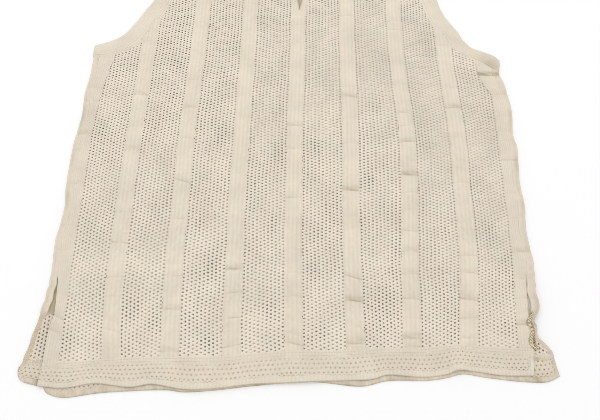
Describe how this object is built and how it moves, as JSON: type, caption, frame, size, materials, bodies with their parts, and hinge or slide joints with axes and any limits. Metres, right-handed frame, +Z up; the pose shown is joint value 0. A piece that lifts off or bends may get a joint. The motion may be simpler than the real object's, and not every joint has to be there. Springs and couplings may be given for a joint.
{
  "type": "knit tank top",
  "caption": "Sleeveless cream knit top laid flat, with eyelet stripes between puckered plain bands, round neck with a front slit, banded armholes and hem, and side vents.",
  "frame": {"origin": "middle of the surface that the laid top rests on, under the middle of its outline", "axes": "+Y from the hem towards the neck, +X to the right of a viewer looking at the front, +Z up out of the front"},
  "size_m": [0.5189, 0.656, 0.0044],
  "materials": {
    "eyelet_knit": "matt cream cotton knit with eyelet stripes",
    "band_knit": "matt cream plain cotton knit",
    "seam_thread": "matt yellowish overlock thread"
  },
  "bodies": {
    "root": {"front_panel": "eyelet_knit", "back_panel": "eyelet_knit", "front_hem_band": "band_knit", "back_hem_band": "band_knit", "armhole_band_left": "band_knit", "armhole_band_right": "band_knit", "neck_band": "band_knit"}
  },
  "joints": []
}
